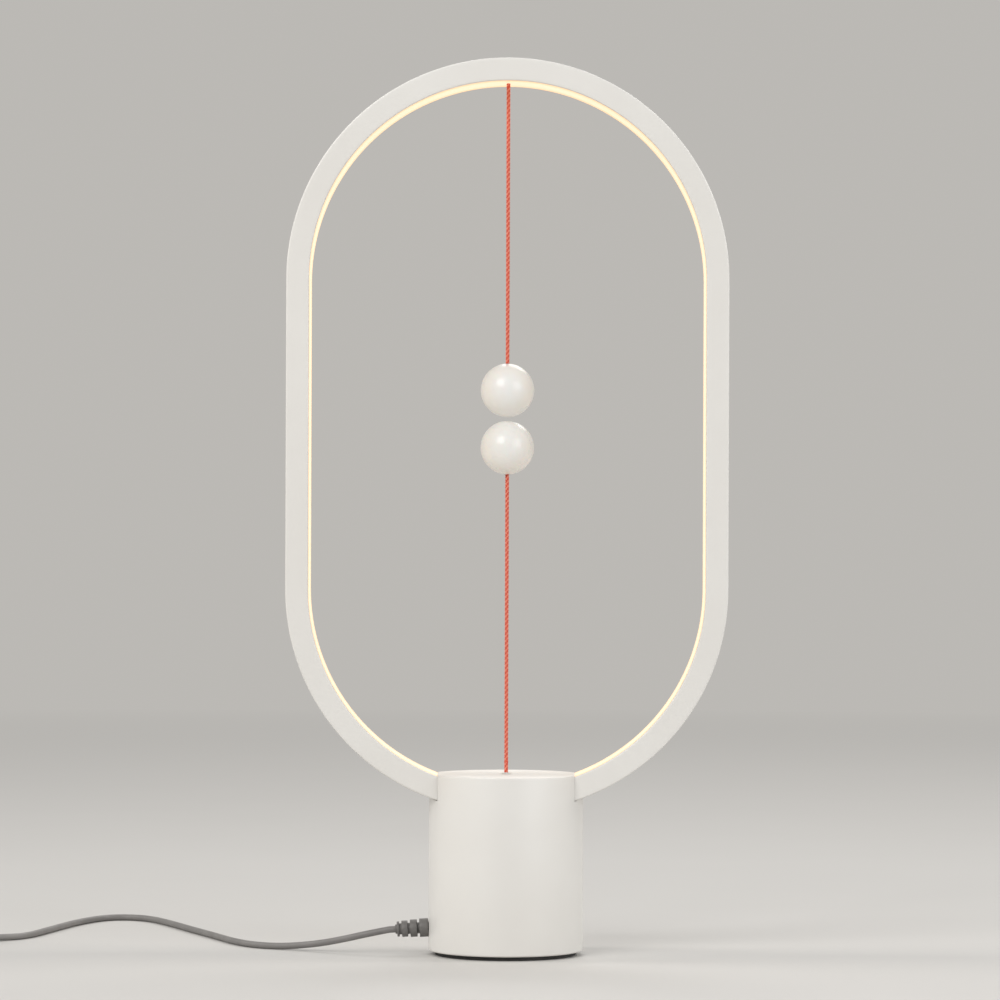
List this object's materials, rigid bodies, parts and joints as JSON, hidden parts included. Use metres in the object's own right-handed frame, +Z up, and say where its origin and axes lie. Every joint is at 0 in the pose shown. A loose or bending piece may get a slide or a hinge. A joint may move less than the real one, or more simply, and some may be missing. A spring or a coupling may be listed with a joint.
{
  "type": "magnetic balance lamp",
  "caption": "Tall stadium-shaped light ring in a round base, with magnetic balls on strings that meet in mid-air to work the switch; power cord with plug.",
  "frame": {"origin": "middle of the round foot's underside, on the table", "axes": "+Z up the ring, +X to the viewer's right across the ring, +Y away from the viewer through the ring's thickness"},
  "size_m": [0.4096, 0.1945, 0.4],
  "materials": {
    "shell": "satin",
    "cap": "matt",
    "diffuser": "milky, lit from behind",
    "strip": "satin",
    "frame": "matt",
    "board": "satin",
    "black": "satin",
    "red": "gloss",
    "foot": "matt",
    "steel": "zinc plated",
    "iron": "cast",
    "magnet": "nickel plated",
    "ball": "soft gloss",
    "string": "braided",
    "cord": "smooth, soft",
    "tie": "woven strap"
  },
  "bodies": {
    "base": {"ring_front_shell": "shell", "ring_back_shell": "shell", "ring_diffuser": "diffuser", "led_strip": "strip", "upper_string_anchor": "string", "ring_end_block_left": "frame", "ring_end_block_right": "frame", "ring_screw_left": "steel", "ring_screw_right": "steel", "base_housing": "shell", "top_cap": "cap", "string_eyelet": "cap", "inner_frame": "frame", "bottom_cover": "frame", "foot_pad": "foot", "ballast_weight": "iron", "cover_screw_1": "steel", "cover_screw_2": "steel", "cover_screw_3": "steel", "main_board": "board", "board_screw_left": "steel", "board_screw_right": "steel", "driver_chip": "black", "led_socket": "cap", "capacitor": "black", "power_socket": "cap", "micro_switch_body": "black", "switch_lever_pin": "steel", "plunger_spring": "steel", "strain_relief": "cord", "inner_cord": "cord", "led_wire_positive": "cord", "led_wire_negative": "cord", "power_cord": "cord", "cord_coil": "cord", "coil_tie": "tie", "plug_cord": "cord", "usb_plug_body": "cord", "usb_plug_shell": "steel", "usb_plug_tongue": "black"},
    "plunger": {"string_plunger": "cap", "plunger_knot": "string", "lower_string_tail": "string"},
    "switch_lever": {"switch_lever": "steel"},
    "switch_button": {"switch_button": "red"},
    "lower_string_foot": {"lower_string_low_bend": "string"},
    "lower_string_run": {"lower_string_low": "string"},
    "lower_ball_end": {"lower_string_high_bend": "string", "lower_string_high": "string", "lower_ball": "ball", "lower_ball_plug": "ball", "lower_ball_magnet": "magnet", "lower_ball_knot": "string"},
    "upper_string_head": {"upper_string_bend": "string"},
    "upper_ball_end": {"upper_string": "string", "upper_ball": "ball", "upper_ball_plug": "ball", "upper_ball_magnet": "magnet", "upper_ball_knot": "string"}
  },
  "joints": [
    {"name": "upper_string_side_swing", "type": "hinge", "parent": "base", "child": "upper_string_head", "pos_m": [0, 0, 0.3884], "axis": [0, 1, 0], "range_deg": [-30, 30]},
    {"name": "upper_string_front_swing", "type": "hinge", "parent": "upper_string_head", "child": "upper_ball_end", "pos_m": [0, 0, 0.3884], "axis": [1, 0, 0], "range_deg": [-80, 80]},
    {"name": "plunger_slide", "type": "slide", "parent": "base", "child": "plunger", "axis": [0, 0, 1], "range_m": [-0.003, 0], "stiffness_N_per_m": 150, "springref_m": 0.004, "deforming": ["plunger_spring"]},
    {"name": "switch_lever_turn", "type": "hinge", "parent": "base", "child": "switch_lever", "pos_m": [0.014, 0, 0.04562], "axis": [0, 1, 0], "range_deg": [-12.4, 0]},
    {"name": "switch_button_press", "type": "slide", "parent": "base", "child": "switch_button", "axis": [0, 0, 1], "range_m": [-0.00087, 0]},
    {"name": "lower_string_side_swing", "type": "hinge", "parent": "plunger", "child": "lower_string_foot", "pos_m": [0, 0, 0.0862], "axis": [0, 1, 0], "range_deg": [-30, 30], "stiffness_Nm_per_rad": 0.06},
    {"name": "lower_string_front_swing", "type": "hinge", "parent": "lower_string_foot", "child": "lower_string_run", "pos_m": [0, 0, 0.0862], "axis": [1, 0, 0], "range_deg": [-88, 88], "stiffness_Nm_per_rad": 0.06},
    {"name": "lower_string_droop", "type": "hinge", "parent": "lower_string_run", "child": "lower_ball_end", "pos_m": [0, 0, 0.1222], "axis": [1, 0, 0], "range_deg": [-41, 41], "stiffness_Nm_per_rad": 0.06}
  ],
  "couplings": [
    {"joint": "switch_lever_turn", "follows": "plunger_slide", "rad_per_m": 71.57},
    {"joint": "switch_button_press", "follows": "plunger_slide", "ratio": 0.2874}
  ]
}
